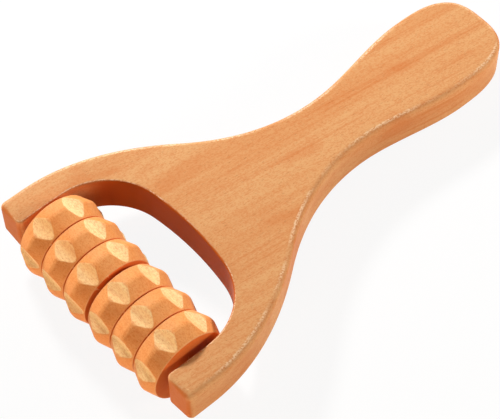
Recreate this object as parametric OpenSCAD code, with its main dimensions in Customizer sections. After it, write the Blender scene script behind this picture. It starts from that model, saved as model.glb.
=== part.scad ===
// Foot massage roller: a one-piece wooden fork with a handle, and two
// turned wooden rollers, notched all round, that spin on a hidden steel rod.
// The rod runs along X, the handle points along +Y, and Z is up.
// The origin is on the floor under the middle of the object.

/* [Fork board] */
// Thickness of the board
board_t = 17.5; // [15:0.5:20]
// Width of each arm beside the rollers
arm_w = 13.1; // [11:0.1:15]
// Rod axis to the flat ends of the arms
tip_len = 13; // [11.6:0.2:14.4]
// Corner radius at the outside of each arm end, seen from above
tip_r = 2.4; // [1:0.2:4.4]
// Corner radius at the inside of each arm end, seen from above
inner_tip_r = 2.4; // [1.8:0.2:4]
// Rod axis to the end of the handle
handle_len = 190.5; // [175:0.5:205]
// Rounding of the outside edges
edge_r = 2.8; // [2:0.2:4]
// Rounding of the edges round the roller opening
inner_edge_r = 1; // [0.6:0.1:1.6]

/* [Fork outline] */
// Rod axis to where the straight sides of the arms end, below 0 in front of the rod
shoulder_y = -2; // [-6:0.5:2]
// Width of the board where the shoulders taper fastest
taper_w = 66.4; // [62:0.2:72]
// Rod axis to that place
taper_y = 57.5; // [54:0.5:61]
// Slope of each side there, across over along
taper_slope = 0.77; // [0.6:0.01:0.9]
// Width of the waist between shoulders and grip
waist_w = 28.2; // [24:0.2:32]
// Rod axis to the waist
waist_y = 110.5; // [104:0.5:117]
// Widest part of the grip
grip_w = 41.4; // [37:0.2:45]
// Rod axis to the widest part of the grip
grip_y = 161.5; // [155:0.5:166]
// Squareness of the handle end, 2 is an ellipse
end_power = 2.9; // [2:0.1:3.4]

/* [Roller opening] */
// Rod axis to the top of the arch
arch_depth = 35.4; // [33:0.2:37.4]
// Radius of the arch's two corners
arch_r = 27; // [22:1:30]
// Radius of the flat top of the arch between them
arch_top_r = 130; // [80:5:200]

/* [Rollers] */
// Diameter over the ridge round the middle of each lobe
roller_d = 36; // [35:0.2:37]
// Diameter of the rims at both sides of each lobe
rim_d = 31.8; // [30.8:0.2:32.8]
// Width of the flat crown left on each ridge
crown_w = 1.4; // [0.6:0.2:3]
// Spacing of the lobes along the rod
lobe_pitch = 13.4; // [12.4:0.2:14.4]
// Lobes turned on each roller
lobes = 3; // [2:1:4]
// Width of the grooves between the lobes
groove_w = 0.7; // [0.4:0.1:1.2]
// Depth of those grooves below the rims
groove_depth = 2; // [1:0.2:3]
// Notches round each roller
notches = 7; // [6:1:8]
// Rod axis to the bottom of a notch
notch_reach = 16.1; // [15.6:0.1:16.6]
// Slope of the two flat walls of a notch
notch_slope = 24; // [20:1:30]
// Radius of the round bottom of a notch
notch_r = 4; // [2:0.5:6]
// Turn of the left roller at rest
left_turn = 29; // [0:0.5:51]
// Turn of the right roller at rest
right_turn = 17.5; // [0:0.5:51]
// Diameter of the hubs on a roller's ends
hub_d = 9; // [8:0.5:12]
// Gap between the rims of the two rollers
roller_gap = 2; // [1.6:0.1:3]
// Gap between a roller's outer rim and its arm
arm_gap = 2.9; // [1.5:0.1:4]
// Running gap between two hubs, and between a hub and its arm
hub_gap = 0.5; // [0.3:0.1:0.8]
// Height of the middle of the board above the rod
rod_drop = 3.1; // [0:0.1:4]

/* [Rod and plug] */
// Diameter of the steel rod
rod_d = 5; // [4:0.5:6]
// Radial clearance of the rod in the rollers
spin_fit = 0.08; // [0.04:0.01:0.1]
// Radial clearance of the rod in the arms
seat_fit = 0.03; // [0.02:0.01:0.05]
// Depth of the rod's blind seat in the right arm
seat_depth = 8; // [6:0.5:9]
// Diameter of the wooden plug in the left arm
plug_d = 8; // [7:0.5:9]
// Length of the plug
plug_len = 4; // [3:0.5:6]
// Clearance left round and behind the plug, and at the ends of the rod
glue_gap = 0.05; // [0.02:0.01:0.1]

/* [Hidden] */
$fn = 96;

roller_r = roller_d / 2;
rod_r = rod_d / 2;
roller_len = lobes * lobe_pitch - groove_w;
open_hw = roller_gap / 2 + roller_len + arm_gap;
fork_hw = open_hw + arm_w;

// How far a cutter runs on past what it cuts
over = 1;

function mix(a, b, t) = a + (b - a) * t;
function curve(t, a, b, slope_a, slope_b) =
    a * (2 * t^3 - 3 * t^2 + 1) + slope_a * (t^3 - 2 * t^2 + t)
    + b * (3 * t^2 - 2 * t^3) + slope_b * (t^3 - t^2);
function side(y0, y1, x0, x1, s0, s1, t) =
    [curve(t, x0, x1, s0 * (y1 - y0), s1 * (y1 - y0)), mix(y0, y1, t)];

// ---- Outline of the right half of the board, seen from above ----

tip_steps = 6;
shoulder_steps = 16;
inner_tip_steps = 4;
wall_steps = 3;
corner_steps = 10;
waist_steps = 12;
grip_steps = 12;
end_steps = 16;
top_steps = tip_steps + shoulder_steps + 1 - inner_tip_steps - wall_steps - corner_steps;

function superellipse(a, rx, ry, p) = [rx * pow(cos(a), 2 / p), ry * pow(sin(a), 2 / p)];

// Point i of the outside corner of an arm end, with the sides moved in by an inset
least_r = 0.5;
function tip_point(i, inset) =
    let (r = max(tip_r - inset, least_r), a = 90 * i / tip_steps - 90)
    [fork_hw - inset - r + r * cos(a), inset + r - tip_len + r * sin(a)];

outer = concat(
    [for (i = [0:tip_steps]) tip_point(i, 0)],
    [for (i = [0:shoulder_steps])
        side(shoulder_y, taper_y, fork_hw, taper_w / 2, 0, -taper_slope, i / shoulder_steps)],
    [for (i = [1:waist_steps])
        side(taper_y, waist_y, taper_w / 2, waist_w / 2, -taper_slope, 0, i / waist_steps)],
    [for (i = [1:grip_steps])
        side(waist_y, grip_y, waist_w / 2, grip_w / 2, 0, 0, i / grip_steps)],
    [for (i = [1:end_steps])
        [0, grip_y] + superellipse(90 * i / end_steps, grip_w / 2, handle_len - grip_y, end_power)]
);

// The arch is one flat arc between two corner arcs, tangent where they meet
corner_x = open_hw - arch_r;
corner_y = arch_depth - arch_top_r + sqrt(pow(arch_top_r - arch_r, 2) - pow(corner_x, 2));
corner_turn = 90 - asin(corner_x / (arch_top_r - arch_r));

inner = concat(
    [for (i = [0:inner_tip_steps]) let (a = 90 * i / inner_tip_steps)
        [open_hw + inner_tip_r * (1 - sin(a)), inner_tip_r * (1 - cos(a)) - tip_len]],
    [for (i = [1:wall_steps]) [open_hw, mix(inner_tip_r - tip_len, corner_y, i / wall_steps)]],
    [for (i = [1:corner_steps]) let (a = corner_turn * i / corner_steps)
        [corner_x + arch_r * cos(a), corner_y + arch_r * sin(a)]],
    [for (i = [1:top_steps]) let (a = mix(corner_turn, 90, i / top_steps))
        [arch_top_r * cos(a), arch_depth - arch_top_r + arch_top_r * sin(a)]]
);

// ---- Board: the outline lofted through rings that round its edges ----

function flip_x(p) = [-p[0], p[1]];
function perp(v) = [-v[1], v[0]] / norm(v);

n_out = len(outer);
n_in = len(inner);
pair_end = n_in - 1;
outline = concat(
    outer,
    [for (i = [n_out - 2:-1:0]) flip_x(outer[i])],
    [for (i = [0:n_in - 1]) flip_x(inner[i])],
    [for (i = [n_in - 2:-1:0]) inner[i]]
);
n = len(outline);

// Places in the outline of the points of each half
function out_right(i) = i;
function out_left(i) = 2 * n_out - 2 - i;
function in_left(i) = 2 * n_out - 1 + i;
function in_right(i) = i == n_in - 1 ? in_left(i) : n - 1 - i;

// Way in from each corner of the outline, for an inset of 1
inward = [for (i = [0:n - 1])
    let (a = perp(outline[i] - outline[(i + n - 1) % n]), b = perp(outline[(i + 1) % n] - outline[i]))
    (a + b) / (1 + a * b)];

function inset_point(i, inset) =
    i <= tip_steps ? tip_point(i, inset)
    : out_left(i) >= 0 && out_left(i) <= tip_steps ? flip_x(tip_point(out_left(i), inset))
    : outline[i] + inward[i] * inset;

round_steps = 5;
n_rings = 2 * round_steps + 2;
function corner_radius(i) = i < 2 * n_out - 1 ? edge_r : inner_edge_r;
function ring_point(i, k) =
    let (
        top = k > round_steps,
        a = 90 * (top ? k - round_steps - 1 : round_steps - k) / round_steps,
        r = corner_radius(i),
        p = inset_point(i, r * (1 - cos(a))),
        z = board_t / 2 - r * (1 - sin(a))
    )
    [p[0], p[1], top ? z : -z];

function quad(a, b, c, d) = [[a, b, c], [a, c, d]];
function flat_side(ring, up) =
    let (
        base = ring * n,
        tris = concat(
            [for (i = [0:pair_end - 1])
                each quad(in_right(i), in_right(i + 1), out_right(i + 1), out_right(i))],
            [for (i = [0:pair_end - 1])
                each quad(in_left(i), out_left(i), out_left(i + 1), in_left(i + 1))],
            [[in_left(pair_end), out_left(pair_end), out_right(pair_end)]],
            [for (i = [pair_end:n_out - 3])
                each quad(out_right(i), out_left(i), out_left(i + 1), out_right(i + 1))],
            [[out_right(n_out - 2), out_left(n_out - 2), out_right(n_out - 1)]]
        )
    )
    [for (t = tris) up ? [base + t[0], base + t[1], base + t[2]] : [base + t[2], base + t[1], base + t[0]]];

module board() {
    polyhedron(
        points = [for (k = [0:n_rings - 1]) for (i = [0:n - 1]) ring_point(i, k)],
        faces = concat(
            flat_side(0, false),
            [for (k = [0:n_rings - 2]) for (i = [0:n - 1])
                let (j = (i + 1) % n)
                each quad(k * n + i, (k + 1) * n + i, (k + 1) * n + j, k * n + j)],
            flat_side(n_rings - 1, true)
        )
    );
}

// ---- How far the lobes reach from the rod axis at rest ----

notch_angle = 360 / notches;

// The flat walls of a notch, carried on below its round bottom, meet at this distance from the axis
notch_apex = notch_reach + notch_r - notch_r / cos(notch_slope);

// Half the angle that a notch takes out of a lobe's ridge
notch_half = acos(notch_apex * cos(notch_slope) / roller_r) - notch_slope;

// Turn of the direction a from the middle of the nearest notch, on a roller with this turn
function off_notch(a, turn) = abs((a - turn + 360 + notch_angle / 2) % notch_angle - notch_angle / 2);

// Reach of both rollers in the direction a, 0 up, 90 to the front and 180 down
function reach(a) = max([
    for (turn = [left_turn, right_turn])
        roller_r * cos(max(0, notch_half - off_notch(a, turn)))
]);

front_reach = max(tip_len, reach(90));
floor_reach = reach(180);

// ---- Pieces, drawn round the rod axis ----

module on_floor() {
    translate([0, (front_reach - handle_len) / 2, floor_reach]) children();
}

// Round bar or hole along X from x0 to x1
module bar(x0, x1, r) {
    translate([x0, 0, 0]) rotate([0, 90, 0]) cylinder(h = x1 - x0, r = r);
}

plug_x = plug_len - fork_hw;
seat_x = open_hw + seat_depth;

module handle_fork() {
    color("sandybrown") on_floor() difference() {
        translate([0, 0, rod_drop]) board();
        bar(open_hw - over, seat_x, rod_r + seat_fit);
        bar(plug_x - over, over - open_hw, rod_r + seat_fit);
        bar(-fork_hw - over, plug_x, plug_d / 2 + glue_gap);
    }
}

module axle_rod() {
    color("silver") on_floor() bar(plug_x + glue_gap, seat_x - glue_gap, rod_r);
}

module axle_plug() {
    color("peru") on_floor() intersection() {
        translate([0, 0, rod_drop]) board();
        bar(-fork_hw - over, plug_x, plug_d / 2);
    }
}

// ---- Rollers ----

rim_r = rim_d / 2;
groove_r = rim_r - groove_depth;

// Where the middle of lobe i lies, from the inner rim of the roller
function lobe_x(i) = (i + 0.5) * lobe_pitch - groove_w / 2;

// Solid of revolution round X, from a list of [x, radius]
module turned(line) {
    first = line[0];
    last = line[len(line) - 1];
    rotate([0, 90, 0]) rotate_extrude()
        polygon([for (p = concat([[first[0], 0]], line, [[last[0], 0]])) [p[1], p[0]]]);
}

// The lobes as they come off the lathe, with V grooves between them
module lobes_as_turned() {
    rim_hw = (lobe_pitch - groove_w) / 2;
    turned([
        for (i = [0:lobes - 1])
            each concat(
                i == 0 ? [] : [[lobe_x(i) - lobe_pitch / 2, groove_r]],
                [
                    [lobe_x(i) - rim_hw, rim_r],
                    [lobe_x(i) - crown_w / 2, roller_r],
                    [lobe_x(i) + crown_w / 2, roller_r],
                    [lobe_x(i) + rim_hw, rim_r]
                ]
            )
    ]);
}

// What cuts one notch across all lobes: a round nose between two flat flanks, at the top
module notch_cutter() {
    centre_z = notch_reach + notch_r;
    foot_y = notch_r * sin(notch_slope);
    foot_z = centre_z - notch_r * cos(notch_slope);
    flank_y = roller_r;
    flank_z = foot_z + (flank_y - foot_y) * tan(notch_slope);
    translate([0, 0, centre_z]) bar(-over, roller_len + over, notch_r);
    translate([-over, 0, 0]) rotate([90, 0, 90]) linear_extrude(height = roller_len + 2 * over)
        polygon([[-foot_y, foot_z], [foot_y, foot_z], [flank_y, flank_z], [-flank_y, flank_z]]);
}

// The right roller, turned by an angle about the rod; the left one is its mirror image
module roller(turn) {
    inner_x = roller_gap / 2;
    hub_x = hub_gap / 2;
    hub_end = open_hw - hub_gap;
    rotate([turn, 0, 0]) difference() {
        union() {
            translate([inner_x, 0, 0]) difference() {
                lobes_as_turned();
                for (i = [0:notches - 1]) rotate([i * notch_angle, 0, 0]) notch_cutter();
            }
            bar(hub_x, hub_end, hub_d / 2);
        }
        bar(0, open_hw, rod_r + spin_fit);
    }
}

module left_roller() {
    color("burlywood") on_floor() mirror([1, 0, 0]) roller(left_turn);
}

module right_roller() {
    color("burlywood") on_floor() roller(right_turn);
}

handle_fork();
axle_rod();
axle_plug();
left_roller();
right_roller();
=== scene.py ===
"""The looks of a wooden foot massage roller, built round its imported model."""

import math

import bmesh
import bpy
import numpy as np
from mathutils import Matrix, Vector


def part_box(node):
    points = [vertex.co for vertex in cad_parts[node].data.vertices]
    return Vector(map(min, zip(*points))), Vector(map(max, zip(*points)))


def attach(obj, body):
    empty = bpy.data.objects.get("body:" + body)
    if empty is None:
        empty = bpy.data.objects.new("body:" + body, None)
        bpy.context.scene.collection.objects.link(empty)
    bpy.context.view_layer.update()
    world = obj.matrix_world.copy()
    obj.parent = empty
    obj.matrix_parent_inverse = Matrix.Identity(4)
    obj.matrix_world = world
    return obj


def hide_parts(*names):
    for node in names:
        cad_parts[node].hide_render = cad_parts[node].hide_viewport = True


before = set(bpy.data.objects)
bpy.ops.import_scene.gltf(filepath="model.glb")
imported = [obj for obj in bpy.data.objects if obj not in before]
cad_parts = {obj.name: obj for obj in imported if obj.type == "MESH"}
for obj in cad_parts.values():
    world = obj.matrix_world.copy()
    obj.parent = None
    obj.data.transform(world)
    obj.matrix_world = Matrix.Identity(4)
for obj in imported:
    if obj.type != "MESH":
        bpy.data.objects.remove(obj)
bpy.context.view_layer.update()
MM = 0.001  # A millimetre, in the frame's metres

# ---- Sizes that the CAD model also has, in millimetres ----

EDGE_R = 2.8
INNER_EDGE_R = 1.0
TIP_R, INNER_TIP_R, LEAST_R = 2.4, 2.4, 0.5
TAPER_W, TAPER_Y, TAPER_SLOPE = 66.4, 57.5, 0.77
WAIST_W, WAIST_Y = 28.2, 110.5
GRIP_W, GRIP_Y = 41.4, 161.5
END_POWER = 2.9
SHOULDER_Y = -2.0
ARCH_DEPTH, ARCH_R, ARCH_TOP_R = 35.4, 27.0, 130.0
OPEN_HW = 43.4
SEAT_FIT, SPIN_FIT, GLUE_GAP = 0.03, 0.08, 0.05
SEAT_DEPTH = 8.0
PLUG_R, PLUG_LEN = 4.0, 4.0

LOBES, LOBE_PITCH, GROOVE_W, GROOVE_DEPTH = 3, 13.4, 0.7, 2.0
ROLLER_R, RIM_R, CROWN_W = 18.0, 15.9, 1.4
NOTCHES, NOTCH_REACH, NOTCH_SLOPE, NOTCH_R = 7, 16.1, 24.0, 4.0
LEFT_TURN, RIGHT_TURN = 29.0, 17.5
HUB_R, ROLLER_GAP, HUB_GAP = 4.5, 2.0, 0.5

# ---- Places and sizes from the frame, in millimetres ----


def mm_box(node):
    """The low and high corners of a node's box."""
    low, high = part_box(node)
    return np.array(low) / MM, np.array(high) / MM


FORK_LOW, FORK_HIGH = mm_box("handle_fork")
ROD_LOW, ROD_HIGH = mm_box("axle_rod")
ROD_Y, ROD_Z = (ROD_LOW[1:] + ROD_HIGH[1:]) / 2
ROD_R = (ROD_HIGH[2] - ROD_LOW[2]) / 2
FORK_HW = FORK_HIGH[0]
TIP_LEN = ROD_Y - FORK_LOW[1]
HANDLE_LEN = FORK_HIGH[1] - ROD_Y
BOARD_MID = (FORK_LOW[2] + FORK_HIGH[2]) / 2
BOARD_T = FORK_HIGH[2] - FORK_LOW[2]


# ---- Meshes ----

FLAT_FACE_WEIGHT = 100


def new_object(name, data):
    obj = bpy.data.objects.new(name, data)
    bpy.context.scene.collection.objects.link(obj)
    return obj


def new_mesh(name, points, faces):
    """A mesh object from points in millimetres from the rod axis, its faces turned outwards."""
    mesh = bpy.data.meshes.new(name)
    rod = np.array([0, ROD_Y, ROD_Z])
    mesh.from_pydata(((np.array(points) + rod) * MM).tolist(), [], faces)
    bm = bmesh.new()
    bm.from_mesh(mesh)
    bmesh.ops.recalc_face_normals(bm, faces=bm.faces)
    bm.to_mesh(mesh)
    bm.free()
    return new_object(name, mesh)


def applied(obj):
    """Replaces an object's mesh by the one that its modifiers make."""
    graph = bpy.context.evaluated_depsgraph_get()
    mesh = bpy.data.meshes.new_from_object(obj.evaluated_get(graph))
    obj.modifiers.clear()
    old = obj.data
    obj.data = mesh
    mesh.name = obj.name
    bpy.data.meshes.remove(old)


def smooth(obj, angle):
    """Smooth shading that keeps edges sharper than an angle, and keeps flat faces flat."""
    obj.data.shade_smooth()
    obj.data.set_sharp_from_angle(angle=math.radians(angle))
    weighted = obj.modifiers.new("flat_faces", "WEIGHTED_NORMAL")
    weighted.keep_sharp = True
    weighted.weight = FLAT_FACE_WEIGHT


# ---- The board's outline, seen from above, round the rod axis ----

TIP_STEPS, SHOULDER_STEPS, WAIST_STEPS, GRIP_STEPS, END_STEPS = 10, 44, 36, 36, 44
FRONT_STEPS, INNER_TIP_STEPS, WALL_STEPS, CORNER_STEPS = 4, 8, 9, 30
# Rows of quads join the inner line to the outer one, point by point, up to the end of the shoulder
TOP_STEPS = (
    TIP_STEPS + SHOULDER_STEPS + 2 - FRONT_STEPS - INNER_TIP_STEPS - WALL_STEPS - CORNER_STEPS
)


def between_ends(a, b, steps):
    """Even steps from a to b, without both ends."""
    return np.linspace(a, b, steps + 1)[1:-1]


def side(y0, y1, x0, x1, s0, s1, t):
    """A cubic from (x0, y0) to (x1, y1) with the slopes s0 and s1."""
    d = y1 - y0
    x = (
        x0 * (2 * t**3 - 3 * t**2 + 1)
        + s0 * d * (t**3 - 2 * t**2 + t)
        + x1 * (3 * t**2 - 2 * t**3)
        + s1 * d * (t**3 - t**2)
    )
    return np.stack([x, y0 + d * t], -1)


def arc(cx, cy, r, a0, a1, steps, first=1):
    """Points on an arc from the angle a0 to a1, without those before the first."""
    a = np.radians(np.linspace(a0, a1, steps + 1))[first:]
    return np.stack([cx + r * np.cos(a), cy + r * np.sin(a)], -1)


def tip_corner(inset):
    """The outside corner of an arm end, with the sides moved in by inset."""
    r = max(TIP_R - inset, LEAST_R)
    return arc(FORK_HW - inset - r, inset + r - TIP_LEN, r, -90, 0, TIP_STEPS, first=0)


def outer_half():
    """The right half of the outside line, from the arm's front to the end of the handle."""

    def steps(n, first=1):
        return np.linspace(0, 1, n + 1)[first:]

    a = steps(END_STEPS) * math.pi / 2
    end = np.stack(
        [
            GRIP_W / 2 * np.cos(a).clip(0) ** (2 / END_POWER),
            GRIP_Y + (HANDLE_LEN - GRIP_Y) * np.sin(a) ** (2 / END_POWER),
        ],
        -1,
    )
    shoulder = (SHOULDER_Y, TAPER_Y, FORK_HW, TAPER_W / 2, 0, -TAPER_SLOPE)
    waist = (TAPER_Y, WAIST_Y, TAPER_W / 2, WAIST_W / 2, -TAPER_SLOPE, 0)
    grip = (WAIST_Y, GRIP_Y, WAIST_W / 2, GRIP_W / 2, 0, 0)
    return np.concatenate([
        tip_corner(0),
        side(*shoulder, steps(SHOULDER_STEPS, 0)),
        side(*waist, steps(WAIST_STEPS)),
        side(*grip, steps(GRIP_STEPS)),
        end,
    ])


def inner_half():
    """The right half of the inside line, from the arm's front to the top of the arch."""
    corner_x = OPEN_HW - ARCH_R
    reach = ARCH_TOP_R - ARCH_R
    corner_y = ARCH_DEPTH - ARCH_TOP_R + math.sqrt(reach**2 - corner_x**2)
    turn = 90 - math.degrees(math.asin(corner_x / reach))
    tip_y = INNER_TIP_R - TIP_LEN
    wall_y = np.linspace(tip_y, corner_y, WALL_STEPS + 1)[1:]
    wall = np.stack([np.full_like(wall_y, OPEN_HW), wall_y], -1)
    front_x = between_ends(FORK_HW - TIP_R, OPEN_HW + INNER_TIP_R, FRONT_STEPS)
    return np.concatenate([
        np.stack([front_x, np.full_like(front_x, -TIP_LEN)], -1),
        arc(OPEN_HW + INNER_TIP_R, tip_y, INNER_TIP_R, 270, 180, INNER_TIP_STEPS, first=0),
        wall,
        arc(corner_x, corner_y, ARCH_R, 0, turn, CORNER_STEPS),
        arc(0, ARCH_DEPTH - ARCH_TOP_R, ARCH_TOP_R, turn, 90, TOP_STEPS),
    ])


# ---- The fork: a board with rounded edges, its flat sides filled with rows of quads ----

ROUND_STEPS = 8
COLUMNS = 6
WALL_ROWS = 5
HOLE_SEGMENTS = 64
CUT_PAST = 1.0  # How far a cutter reaches past the face that it cuts


def make_fork():
    """The board: its outline in rings that round the edges, and rows of quads on the flat sides."""
    outer, inner = outer_half(), inner_half()
    n_out, n_in = len(outer), len(inner)
    flip = np.array([-1, 1])
    ring = np.concatenate([outer, (outer * flip)[-2::-1], inner * flip, inner[-2::-1]])
    n = len(ring)
    on_outside = np.arange(n) < 2 * n_out - 1

    def unit_left(v):
        v = np.stack([-v[:, 1], v[:, 0]], -1)
        return v / np.linalg.norm(v, axis=1)[:, None]

    before = unit_left(ring - np.roll(ring, 1, 0))
    after = unit_left(np.roll(ring, -1, 0) - ring)
    inward = (before + after) / (1 + (before * after).sum(1))[:, None]
    radius = np.where(on_outside, EDGE_R, INNER_EDGE_R)
    front = between_ends(EDGE_R, INNER_EDGE_R, FRONT_STEPS)
    radius[2 * n_out - 1 : 2 * n_out - 1 + len(front)] = front
    radius[-len(front) :] = front[::-1]
    radius = radius[:, None]

    def inset_ring(share):
        """The outline moved in by a share of its edge radius, with its corners kept round."""
        flat = ring + inward * radius * share
        corner = tip_corner(EDGE_R * share)
        flat[: TIP_STEPS + 1] = corner
        flat[2 * n_out - 2 - TIP_STEPS : 2 * n_out - 1] = (corner * flip)[::-1]
        return flat

    points = []

    def add(block):
        """Adds points and gives their indices."""
        start = len(points)
        points.extend(block.tolist())
        return list(range(start, len(points)))

    drop = BOARD_MID - ROD_Z

    def level(turn, up):
        """The ring at a turn on the rounded edge, from 0 at the wall to 90 degrees at the top."""
        z = BOARD_T / 2 - radius * (1 - math.sin(turn))
        return np.concatenate([inset_ring(1 - math.cos(turn)), drop + up * z], 1)

    turns = np.radians(np.linspace(0, 90, ROUND_STEPS + 1))
    bottom = [level(a, -1) for a in turns[::-1]]
    top = [level(a, 1) for a in turns]
    wall = [bottom[-1] + (top[0] - bottom[-1]) * t for t in between_ends(0, 1, WALL_ROWS)]
    rings = [add(block) for block in bottom + wall + top]
    faces = []
    for low, high in zip(rings, rings[1:]):
        for i in range(n):
            j = (i + 1) % n
            faces.append((low[i], low[j], high[j], high[i]))

    def between(a, b, count):
        """Indices from point a to point b, with new points between them."""
        pa, pb = np.array(points[a]), np.array(points[b])
        t = between_ends(0, 1, count)[:, None]
        return [a] + add(pa + (pb - pa) * t) + [b]

    for r in (rings[0], rings[-1]):
        rows_right, rows_left = [], []
        for i in range(n_out - 1):
            right, left = r[i], r[2 * n_out - 2 - i]
            if i < n_in:
                in_left = r[2 * n_out - 1 + i]
                in_right = in_left if i == n_in - 1 else r[n - 1 - i]
                rows_right.append(between(right, in_right, COLUMNS))
                rows_left.append(between(in_left, left, COLUMNS))
            else:
                row = between(right, left, 2 * COLUMNS)
                rows_right.append(row[: COLUMNS + 1])
                rows_left.append(row[COLUMNS:])
        for rows in (rows_right, rows_left):
            for a, b in zip(rows, rows[1:]):
                for k in range(COLUMNS):
                    faces.append((a[k], a[k + 1], b[k + 1], b[k]))
        tip = r[n_out - 1]
        last = rows_right[-1] + rows_left[-1][1:]
        faces.extend((last[k], last[k + 1], tip) for k in range(2 * COLUMNS))
    return new_mesh("fork_wood", points, faces)


def drill(obj, x0, x1, r):
    """Cuts a round hole along the rod's axis."""
    n = HOLE_SEGMENTS
    a = np.linspace(0, 2 * math.pi, n, endpoint=False)
    points = [(x, r * math.sin(t), r * math.cos(t)) for x in (x0, x1) for t in a]
    sides = [(i, (i + 1) % n, n + (i + 1) % n, n + i) for i in range(n)]
    ends = [tuple(range(n)), tuple(range(n, 2 * n))]
    cutter = new_mesh("cutter", points, sides + ends)
    cut = obj.modifiers.new("hole", "BOOLEAN")
    cut.operation = "DIFFERENCE"
    cut.object = cutter
    cut.solver = "EXACT"
    applied(obj)
    bpy.data.objects.remove(cutter)


# ---- The rollers: turned lobes with notches across them, their edges worn soft ----

TURN_STEPS = 52 * NOTCHES
EDGE_WEAR = 0.14
RIM_HW = (LOBE_PITCH - GROOVE_W) / 2
RIM_ROUND, RIM_TURNS = 0.4, (25, 50, 75)
HUB_BEVEL, HUB_FILLET = 0.25, 0.05
END_FACE_STEPS = 8
TINY = 1e-6

# Where a lobe's rings lie: in from its rims, across its middle, and out from its rims into grooves
NEAR_RIM = np.array([0.06, 0.14, 0.25, 0.4, 0.55])
MIDDLE_IN, MIDDLE_RINGS = 0.75, 41
IN_GROOVE = np.array([0.05, 0.1, 0.17, GROOVE_W / 2])


def soft_min(a, b):
    """The smaller of both, with the edge between them worn round."""
    h = np.clip(0.5 + 0.5 * (b - a) / EDGE_WEAR, 0, 1)
    return b + (a - b) * h - EDGE_WEAR * h * (1 - h)


def notch_radius(angle):
    """Radius of the notches in the direction of angle: a round bottom between two flat walls."""
    step = 2 * math.pi / NOTCHES
    off = np.abs(np.mod(angle + step / 2, step) - step / 2)
    slope = math.radians(NOTCH_SLOPE)
    centre = NOTCH_REACH + NOTCH_R
    foot = math.atan2(NOTCH_R * math.sin(slope), centre - NOTCH_R * math.cos(slope))
    apex = centre - NOTCH_R / math.cos(slope)
    wall = apex * math.cos(slope) / np.cos(slope + off)
    bottom = centre * np.cos(off) - np.sqrt((NOTCH_R**2 - (centre * np.sin(off)) ** 2).clip(0))
    return np.where(off < foot, bottom, wall)


def lobe_radius(x, angle):
    """Radius of a lobe at x from its middle, and at an angle from the middle of a notch."""
    crown_hw = CROWN_W / 2
    cone = ROLLER_R - (ROLLER_R - RIM_R) * (abs(x) - crown_hw) / (RIM_HW - crown_hw)
    wall = RIM_R + GROOVE_DEPTH * (RIM_HW - abs(x)) * 2 / GROOVE_W
    turned = soft_min(soft_min(ROLLER_R, cone), wall)
    return soft_min(notch_radius(angle), np.full_like(angle, turned))


def lobe_places(lobe):
    """Where a lobe's rings lie, from its middle.

    Towards another lobe they go on into the groove, and at an end they stop where the rim is round.
    """
    middle = np.linspace(MIDDLE_IN - RIM_HW, RIM_HW - MIDDLE_IN, MIDDLE_RINGS)
    xs = np.concatenate([NEAR_RIM - RIM_HW, middle, (RIM_HW - NEAR_RIM)[::-1]])
    if lobe > 0:
        xs = np.concatenate([-RIM_HW - IN_GROOVE[:-1][::-1], xs])
    else:
        xs = xs[xs > RIM_ROUND - RIM_HW - TINY]
    if lobe < LOBES - 1:
        return np.concatenate([xs, RIM_HW + IN_GROOVE])
    return xs[xs < RIM_HW - RIM_ROUND + TINY]


def make_roller(name, turn, mirrored):
    """A closed mesh of rings: up one end, along the lobes, down the other, back in the bore."""
    angle = np.linspace(0, 2 * math.pi, TURN_STEPS, endpoint=False)
    around = angle + math.radians(turn)
    first_x = ROLLER_GAP / 2
    last_x = first_x + LOBES * LOBE_PITCH - GROOVE_W
    hub_in, hub_out = HUB_GAP / 2, OPEN_HW - HUB_GAP
    bore_r = ROD_R + SPIN_FIT
    foot_r = HUB_R + HUB_FILLET
    rings = []

    def ring(x, r):
        r = np.broadcast_to(r, angle.shape)
        y, z = -r * np.sin(around), r * np.cos(around)
        rings.append(np.stack([np.full_like(angle, x), y, z], -1))

    def end_face(x, r0, r1):
        for t in np.linspace(0, 1, END_FACE_STEPS + 1)[1:]:
            ring(x, r0 + (r1 - r0) * t)

    def rim(x, inwards, r, turns):
        """The rings that round a rim: x is its end face, and inwards is 1 or -1."""
        for a in np.radians(turns):
            ring(x + inwards * RIM_ROUND * (1 - math.cos(a)), r - RIM_ROUND * (1 - math.sin(a)))

    ring(hub_in, bore_r)
    ring(hub_in, HUB_R - HUB_BEVEL)
    ring(hub_in + HUB_BEVEL, HUB_R)
    ring(first_x - HUB_FILLET, HUB_R)
    ring(first_x, foot_r)
    rim_in = lobe_radius(RIM_ROUND - RIM_HW, angle)
    end_face(first_x, foot_r, rim_in - RIM_ROUND)
    rim(first_x, 1, rim_in, RIM_TURNS)
    for lobe in range(LOBES):
        middle_x = first_x + RIM_HW + lobe * LOBE_PITCH
        for x in lobe_places(lobe):
            ring(middle_x + x, lobe_radius(x, angle))
    rim_out = lobe_radius(RIM_HW - RIM_ROUND, angle)
    rim(last_x, -1, rim_out, RIM_TURNS[::-1] + (0,))
    end_face(last_x, rim_out - RIM_ROUND, foot_r)
    ring(last_x + HUB_FILLET, HUB_R)
    ring(hub_out - HUB_BEVEL, HUB_R)
    ring(hub_out, HUB_R - HUB_BEVEL)
    ring(hub_out, bore_r)

    points = np.concatenate(rings)
    if mirrored:
        points = points * np.array([-1, 1, 1])
    n, m = TURN_STEPS, len(rings)
    faces = [
        (k * n + i, k * n + (i + 1) % n, ((k + 1) % m) * n + (i + 1) % n, ((k + 1) % m) * n + i)
        for k in range(m)
        for i in range(n)
    ]
    return new_mesh(name, points, faces)


# ---- Materials ----


def rgb(r, g, b):
    """A colour as it looks on a screen, 0 to 255, as the shader wants it."""

    def linear(v):
        v /= 255
        return v / 12.92 if v <= 0.04045 else ((v + 0.055) / 1.055) ** 2.4

    return (linear(r), linear(g), linear(b), 1.0)


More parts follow.
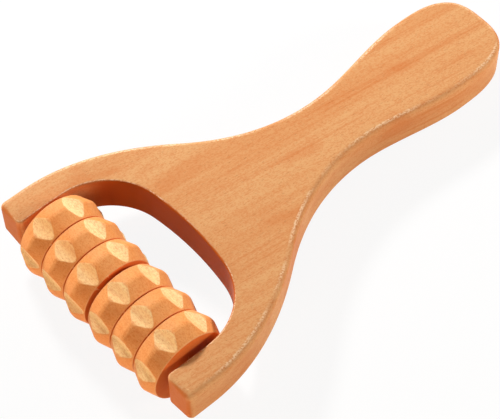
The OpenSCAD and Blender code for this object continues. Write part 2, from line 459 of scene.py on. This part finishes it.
# Noises of the wood: waves per millimetre across and along its grain, detail, roughness, distortion
STREAKS = (0.11, 0.006, 3.0, 0.55, 0.3)
LINES = (0.55, 0.010, 4.0, 0.62, 0.2)
MOTTLE = (0.09, 0.035, 2.0, 0.50, 0.0)
FLECKS = (3.20, 0.280, 2.0, 0.60, 0.0)
PORES = (6.00, 0.500, 1.0, 0.50, 0.0)
SPECKLE = (1.70, 1.100, 2.0, 0.60, 0.0)
NOISE_RANGE = (0.3, 0.7)

# Layers of its colour: the values from which and up to which a layer comes in, and its strength
LIGHT_STREAKS = (0.36, 0.62, 1.0)
DARK_LINES = (0.50, 0.72, 0.34)
DARK_MOTTLE = (0.55, 0.75, 0.30)
DARK_FLECKS = (0.56, 0.70, 0.32)
DARK_SPECKLE = (0.42, 0.66, 0.30)
DEEP_PORES = (0.66, 0.76, 0.50)
END_GRAIN = (0.40, 0.80, 0.75)
# Painted highlight on convex ridges and painted shade in concave corners, both by pointiness
RIDGE_HIGHLIGHT = (0.512, 0.545, 0.55)
CORNER_SHADE = (0.485, 0.42, 0.60)
DEEPER = 0.45  # The deep tone, as a share of the dark one

# The painted highlight line along the fork's rounded edges, broken up in patches like wear: where
# it starts and stops, by how upright the surface is, and how the mottle and the speckle break it up
WORN_HIGHLIGHT_START, WORN_HIGHLIGHT_STOP = (0.72, 0.88), (0.995, 0.96)
WORN_HIGHLIGHT_MOTTLE, WORN_HIGHLIGHT_SPECKLE = (0.35, 0.60), (0.62, 0.42)
WORN_HIGHLIGHT_STRENGTH, WORN_HIGHLIGHT_COLOUR = 0.7, rgb(255, 222, 182)

# The colour of the painted highlight on ridges
RIDGE_HIGHLIGHT_COLOUR = rgb(255, 214, 156)
VARNISH_ROUGHNESS, VARNISH_SPECULAR = (0.37, 0.49), 0.02
BUMP_STRENGTH, BUMP_DISTANCE = 0.12, 0.15 * MM

# How far the fork's grain moves sideways for each millimetre along the handle
FORK_GRAIN_LEAN = 0.13

# Painted shade on the arch's wall behind the rollers: how far it faces the front and lies behind the rod,
# and its strength
WALL_FACING, WALL_BEHIND, WALL_SHADE = (0.1, 0.7), (0.0, 12.0), 0.9

# Painted shade on the rollers' turned faces; the notches are left pale, as if lit. A notch is told
# from them by how little it faces the ends and by how far it lies below the crowns
NOTCH_FACING, NOTCH_BELOW, TURNED_SHADE = (0.28, 0.12), (0.1, 0.5), 0.72

# The rod's drawn steel: how its noise is stretched, its colours and its roughness
STEEL_STRETCH = (200.0, 9000.0, 9000.0)
STEEL_DARK, STEEL_LIGHT = (0.42, 0.42, 0.43, 1), (0.62, 0.62, 0.63, 1)
STEEL_ROUGHNESS = (0.25, 0.42)


class Nodes:
    """Short calls that add nodes to a material and link them."""

    def __init__(self, name):
        self.material = bpy.data.materials.new(name)
        self.material.use_nodes = True
        self.tree = self.material.node_tree
        self.shader = self.tree.nodes["Principled BSDF"]

    def add(self, kind, *inputs, **settings):
        node = self.tree.nodes.new(kind)
        for key, value in settings.items():
            setattr(node, key, value)
        for socket, value in zip(node.inputs, inputs):
            self.put(socket, value)
        return node

    def put(self, socket, value):
        if isinstance(value, bpy.types.NodeSocket):
            self.tree.links.new(value, socket)
        else:
            socket.default_value = value

    def math(self, operation, *inputs):
        return self.add("ShaderNodeMath", *inputs, operation=operation).outputs[0]

    def times(self, a, b):
        return self.math("MULTIPLY", a, b)

    def vector(self, operation, *inputs):
        return self.add("ShaderNodeVectorMath", *inputs, operation=operation).outputs

    def facing(self, normal, axis):
        """1 where a surface faces along the axis, -1 where it faces the other way, 0 across it."""
        return self.vector("DOT_PRODUCT", normal, axis)["Value"]

    def noise(self, place, detail, roughness=0.5, distortion=0.0):
        """A noise of one wave in every unit of the place."""
        node = self.add("ShaderNodeTexNoise")
        self.put(node.inputs["Vector"], place)
        self.put(node.inputs["Scale"], 1.0)
        self.put(node.inputs["Detail"], detail)
        self.put(node.inputs["Roughness"], roughness)
        self.put(node.inputs["Distortion"], distortion)
        return node.outputs["Fac"]

    def band(self, value, low, high):
        """0 below low, 1 above high, smooth between, or the other way round where low is higher."""
        node = self.add("ShaderNodeMapRange", value, low, high, interpolation_type="SMOOTHSTEP")
        return node.outputs[0]

    def ramp(self, noise, low, high):
        """From low to high over the values that a noise mostly has."""
        return self.add("ShaderNodeMapRange", noise, *NOISE_RANGE, low, high).outputs[0]

    def combine(self, x, y, z):
        return self.add("ShaderNodeCombineXYZ", x, y, z).outputs[0]

    def mix(self, factor, a, b):
        node = self.add("ShaderNodeMix", data_type="RGBA")
        self.put(node.inputs["Factor"], factor)
        self.put(node.inputs[6], a)
        self.put(node.inputs[7], b)
        return node.outputs[2]

    def layer(self, colour, value, limits, tint, share=1.0):
        """Lays a tint over a colour where the value lets it in, at a share of its strength."""
        low, high, strength = limits
        return self.mix(self.times(self.band(value, low, high), strength * share), colour, tint)


def wood(
    name, light, base, dark, grain, seed, end_axis, figure=1.0, painted_shade=None, shade_colour=None, worn_highlight=None
):
    """Varnished wood, from its light streaks, its base colour and its dark grain.

    grain(nodes, x, y, z) gives the place across, along and through the grain, in millimetres. seed
    moves the grain sideways, so that no two woods are alike, and figure is the strength of its
    lines and mottle. Faces that look along end_axis show end grain. The shade mask, called with
    (nodes, x, y, z, normal), says how much painted shade, in the shade colour, lies under the
    grain, and the edge mask, called with (nodes, normal), says where a painted highlight line,
    broken up in patches like wear, lightens the edges.
    """
    nodes = Nodes(name)
    texture = nodes.add("ShaderNodeTexCoord").outputs
    normal = texture["Normal"]
    xyz = nodes.add("ShaderNodeSeparateXYZ", texture["Object"]).outputs
    x, y, z = (nodes.times(v, 1 / MM) for v in xyz)
    across, along, through = grain(nodes, x, y, z)
    across = nodes.math("ADD", across, seed)

    def grain_noise(waves_across, waves_along, *settings):
        place = nodes.combine(
            nodes.times(across, waves_across),
            nodes.times(along, waves_along),
            nodes.times(through, waves_across),
        )
        return nodes.noise(place, *settings)

    streaks, lines, mottle, flecks, pores, speckle = (
        grain_noise(*settings) for settings in (STREAKS, LINES, MOTTLE, FLECKS, PORES, SPECKLE)
    )
    deep = tuple(c * DEEPER for c in dark[:3]) + (1.0,)

    colour = nodes.layer(base, streaks, LIGHT_STREAKS, light)
    # Painted shade: the shade colour laid under the grain where the shade mask asks for it
    if painted_shade:
        colour = nodes.mix(painted_shade(nodes, x, y, z, normal), colour, shade_colour)
    colour = nodes.layer(colour, lines, DARK_LINES, dark, figure)
    colour = nodes.layer(colour, mottle, DARK_MOTTLE, dark, figure)
    colour = nodes.layer(colour, flecks, DARK_FLECKS, dark)
    colour = nodes.layer(colour, speckle, DARK_SPECKLE, dark)
    colour = nodes.layer(colour, pores, DEEP_PORES, deep)

    # End grain drinks more stain, so it is deeper there
    to_end = nodes.math("ABSOLUTE", nodes.facing(normal, end_axis))
    colour = nodes.layer(colour, to_end, END_GRAIN, dark)

    # Painted highlights: a pale line along the rounded edges, broken up in patches like wear, and
    # paler sharp ridges. Painted shade: a deeper colour in the concave corners
    if worn_highlight:
        patches = nodes.times(nodes.band(mottle, *WORN_HIGHLIGHT_MOTTLE), nodes.band(speckle, *WORN_HIGHLIGHT_SPECKLE))
        amount = nodes.times(worn_highlight(nodes, normal), nodes.times(patches, WORN_HIGHLIGHT_STRENGTH))
        colour = nodes.mix(amount, colour, WORN_HIGHLIGHT_COLOUR)
    bend = nodes.add("ShaderNodeNewGeometry").outputs["Pointiness"]
    colour = nodes.layer(colour, bend, RIDGE_HIGHLIGHT, RIDGE_HIGHLIGHT_COLOUR)
    colour = nodes.layer(colour, bend, CORNER_SHADE, deep)

    shader = nodes.shader
    nodes.put(shader.inputs["Base Color"], colour)
    nodes.put(shader.inputs["Roughness"], nodes.ramp(lines, *VARNISH_ROUGHNESS))
    shader.inputs["Specular IOR Level"].default_value = VARNISH_SPECULAR
    bump = nodes.add("ShaderNodeBump")
    bump.inputs["Strength"].default_value = BUMP_STRENGTH
    bump.inputs["Distance"].default_value = BUMP_DISTANCE
    height = nodes.math("ADD", nodes.times(lines, 0.5), nodes.times(flecks, 0.5))
    nodes.put(bump.inputs["Height"], height)
    nodes.put(shader.inputs["Normal"], bump.outputs[0])
    return nodes.material


def fork_grain(nodes, x, y, z):
    """The board's grain leans a little across the handle."""
    along = nodes.math("SUBTRACT", y, float(ROD_Y))
    return nodes.math("SUBTRACT", x, nodes.times(along, FORK_GRAIN_LEAN)), along, z


def roller_grain(nodes, x, y, z):
    """A turned barrel's grain runs along the rod."""
    return y, x, z


def edge_highlight_line(nodes, normal):
    """The painted highlight line: 1 where a rounded edge of the board is about to meet its flat face, 0
    elsewhere.
    """
    upright = nodes.math("ABSOLUTE", nodes.facing(normal, (0, 0, 1)))
    return nodes.times(nodes.band(upright, *WORN_HIGHLIGHT_START), nodes.band(upright, *WORN_HIGHLIGHT_STOP))


def arch_wall_shade(nodes, x, y, z, normal):
    """Painted shade, at its set strength, on the wall of the arch behind the rollers, 0 elsewhere."""
    near, far = (float(ROD_Y) + distance for distance in WALL_BEHIND)
    to_front = nodes.band(nodes.facing(normal, (0, -1, 0)), *WALL_FACING)
    return nodes.times(nodes.times(to_front, nodes.band(y, near, far)), WALL_SHADE)


def turned_face_shade(nodes, x, y, z, normal):
    """Painted shade, at its set strength, on the turned faces, and 0 in the notches, which stay pale as
    if lit.
    """
    off_y, off_z = nodes.math("SUBTRACT", y, float(ROD_Y)), nodes.math("SUBTRACT", z, float(ROD_Z))
    off_axis = nodes.combine(0.0, off_y, off_z)
    radius = nodes.vector("LENGTH", off_axis)["Value"]
    level = nodes.band(nodes.math("ABSOLUTE", nodes.facing(normal, (1, 0, 0))), *NOTCH_FACING)
    notch = nodes.times(level, nodes.band(radius, *(ROLLER_R - below for below in NOTCH_BELOW)))
    return nodes.times(nodes.math("SUBTRACT", 1.0, notch), TURNED_SHADE)


def steel():
    """Bright steel, drawn along the rod."""
    nodes = Nodes("rod_steel")
    place = nodes.add("ShaderNodeTexCoord").outputs["Object"]
    scaled = nodes.vector("MULTIPLY", place, STEEL_STRETCH)[0]
    drawn = nodes.noise(scaled, 2.0)
    nodes.put(nodes.shader.inputs["Base Color"], nodes.mix(drawn, STEEL_DARK, STEEL_LIGHT))
    nodes.put(nodes.shader.inputs["Roughness"], nodes.ramp(drawn, *STEEL_ROUGHNESS))
    nodes.shader.inputs["Metallic"].default_value = 1.0
    return nodes.material


def paint(obj, material):
    obj.data.materials.clear()
    obj.data.materials.append(material)


# ---- Stage, lights and camera ----

# The camera's direction in degrees and its distance in metres, from a point so many millimetres to
# the right of the middle, behind the rod and above the middle of the board
AZIMUTH, ELEVATION, ROLL = 50.05, 55.8, -1.43
DISTANCE = 0.6923
AIM_RIGHT, AIM_BEHIND, AIM_ABOVE = 5.0, 60.55, 0.1
SENSOR, FOCAL_PX, IMAGE_W = 36.0, 1801.0, 500
CLIP_END = 20

# The floor: half its width and its gap below the object, in metres, its surface, and how much plain
# white the camera sees over its own shade
FLOOR_HW, FLOOR_GAP = 3.0, 0.0001
FLOOR_COLOUR, FLOOR_ROUGHNESS, FLOOR_SPECULAR = (0.9, 0.9, 0.9, 1), 0.8, 0.1
FLOOR_WHITE = 0.9

# The lamps, which face the frame's origin: place and width in metres, power in watts, colour
LAMPS = {
    "key": ((-0.60, 0.06, 0.50), 0.12, 7.3, (1, 1, 1)),
    "fill": ((0.62, 0.62, 0.34), 0.25, 6.0, (1.0, 0.88, 0.78)),
    "front": ((0.25, -0.80, 0.10), 0.25, 3.0, (1.0, 0.70, 0.45)),
}
WORLD_LIGHT = 0.10


def make_camera():
    a, e, roll = (math.radians(v) for v in (AZIMUTH, ELEVATION, ROLL))
    back = Vector((math.sin(a) * math.cos(e), -math.cos(a) * math.cos(e), math.sin(e)))
    right = Vector((math.cos(a), math.sin(a), 0))
    up = back.cross(right)
    r2 = right * math.cos(roll) + up * math.sin(roll)
    u2 = up * math.cos(roll) - right * math.sin(roll)
    camera = bpy.data.cameras.new("camera")
    camera.sensor_width = SENSOR
    camera.lens = FOCAL_PX * SENSOR / IMAGE_W
    camera.clip_end = CLIP_END
    obj = new_object("camera", camera)
    target = Vector((AIM_RIGHT * MM, (ROD_Y + AIM_BEHIND) * MM, (BOARD_MID + AIM_ABOVE) * MM))
    turned = Matrix((r2, u2, back)).transposed().to_4x4()
    obj.matrix_world = Matrix.Translation(target + back * DISTANCE) @ turned
    bpy.context.scene.camera = obj


def whiten(tree, shade, amount):
    """Mixes plain white into what the camera, mirrors and glass see, and leaves all other light alone."""
    path = tree.nodes.new("ShaderNodeLightPath")
    seen = path.outputs["Is Camera Ray"]
    for name in ("Is Glossy Ray", "Is Transmission Ray"):
        either = tree.nodes.new("ShaderNodeMath")
        either.operation = "MAXIMUM"
        tree.links.new(seen, either.inputs[0])
        tree.links.new(path.outputs[name], either.inputs[1])
        seen = either.outputs[0]
    share = tree.nodes.new("ShaderNodeMath")
    share.operation = "MULTIPLY"
    share.inputs[1].default_value = amount
    tree.links.new(seen, share.inputs[0])
    white = tree.nodes.new("ShaderNodeEmission")
    mix = tree.nodes.new("ShaderNodeMixShader")
    tree.links.new(share.outputs[0], mix.inputs[0])
    tree.links.new(shade, mix.inputs[1])
    tree.links.new(white.outputs[0], mix.inputs[2])
    return mix.outputs[0]


def make_floor():
    """A pale floor, tipped so that the rollers and the end of the handle rest on it."""
    rod = Vector((0, ROD_Y * MM, ROD_Z * MM))
    heel = Vector((0, (FORK_HIGH[1] - EDGE_R) * MM, FORK_LOW[2] * MM))
    reach = heel - rod
    tip = math.asin(ROLLER_R * MM / reach.length) + math.atan2(reach.z, reach.y)
    mesh = bpy.data.meshes.new("floor")
    corners = [(x * FLOOR_HW, y * FLOOR_HW, 0) for x, y in ((-1, -1), (1, -1), (1, 1), (-1, 1))]
    mesh.from_pydata(corners, [], [(0, 1, 2, 3)])
    floor = new_object("floor", mesh)
    below = Vector((0, 0, FLOOR_GAP))
    floor.matrix_world = Matrix.Translation(heel - below) @ Matrix.Rotation(tip, 4, "X")
    nodes = Nodes("floor")
    nodes.shader.inputs["Base Color"].default_value = FLOOR_COLOUR
    nodes.shader.inputs["Roughness"].default_value = FLOOR_ROUGHNESS
    nodes.shader.inputs["Specular IOR Level"].default_value = FLOOR_SPECULAR
    surface = nodes.tree.nodes["Material Output"].inputs[0]
    nodes.tree.links.new(whiten(nodes.tree, nodes.shader.outputs[0], FLOOR_WHITE), surface)
    paint(floor, nodes.material)


def area_light(name, place, size, power, colour):
    """A round soft lamp that faces the frame's origin."""
    light = bpy.data.lights.new(name, "AREA")
    light.shape = "DISK"
    light.size = size
    light.energy = power
    light.color = colour
    obj = new_object(name, light)
    facing = Vector(place).to_track_quat("Z", "Y").to_matrix().to_4x4()
    obj.matrix_world = Matrix.Translation(Vector(place)) @ facing


def make_world(strength):
    world = bpy.data.worlds.new("studio")
    bpy.context.scene.world = world
    world.use_nodes = True
    tree = world.node_tree
    shade = tree.nodes["Background"]
    shade.inputs[0].default_value = (1, 1, 1, 1)
    shade.inputs[1].default_value = strength
    tree.links.new(whiten(tree, shade.outputs[0], 1.0), tree.nodes["World Output"].inputs[0])


# ---- The object ----

FORK_SHARP, ROLLER_SHARP = 40, 50

fork_wood = wood(
    "fork_wood",
    light=rgb(224, 170, 116),
    base=rgb(219, 157, 103),
    dark=rgb(204, 104, 42),
    grain=fork_grain,
    seed=3.0,
    end_axis=(0, 1, 0),
    # Painted shade on the arch's wall, and a painted highlight line, broken up like wear, on the edges
    painted_shade=arch_wall_shade,
    shade_colour=rgb(208, 92, 32),
    worn_highlight=edge_highlight_line,
)
roller_wood = wood(
    "roller_wood",
    light=rgb(255, 220, 160),
    base=rgb(255, 205, 140),
    dark=rgb(216, 100, 34),
    grain=roller_grain,
    seed=40.0,
    end_axis=(1, 0, 0),
    figure=0.5,
    # Painted shade on the turned faces, with the notches left pale as if lit
    painted_shade=turned_face_shade,
    shade_colour=rgb(236, 143, 68),
)
plug_wood = wood(
    "plug_wood",
    light=rgb(220, 140, 76),
    base=rgb(205, 122, 60),
    dark=rgb(160, 80, 34),
    grain=roller_grain,
    seed=80.0,
    end_axis=(1, 0, 0),
)

fork = make_fork()
drill(fork, OPEN_HW - CUT_PAST, OPEN_HW + SEAT_DEPTH, ROD_R + SEAT_FIT)
drill(fork, PLUG_LEN - FORK_HW - CUT_PAST, CUT_PAST - OPEN_HW, ROD_R + SEAT_FIT)
drill(fork, -FORK_HW - CUT_PAST, PLUG_LEN - FORK_HW, PLUG_R + GLUE_GAP)
smooth(fork, FORK_SHARP)
paint(fork, fork_wood)
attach(fork, "fork")
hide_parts("handle_fork")

for name, turn, mirrored in (("left_roller", LEFT_TURN, True), ("right_roller", RIGHT_TURN, False)):
    roller = make_roller(name + "_wood", turn, mirrored)
    smooth(roller, ROLLER_SHARP)
    paint(roller, roller_wood)
    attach(roller, name)
    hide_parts(name)

paint(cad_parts["axle_rod"], steel())
paint(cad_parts["axle_plug"], plug_wood)

make_camera()
make_floor()
make_world(WORLD_LIGHT)
for name, lamp in LAMPS.items():
    area_light(name, *lamp)

bpy.context.scene.view_settings.view_transform = "Standard"
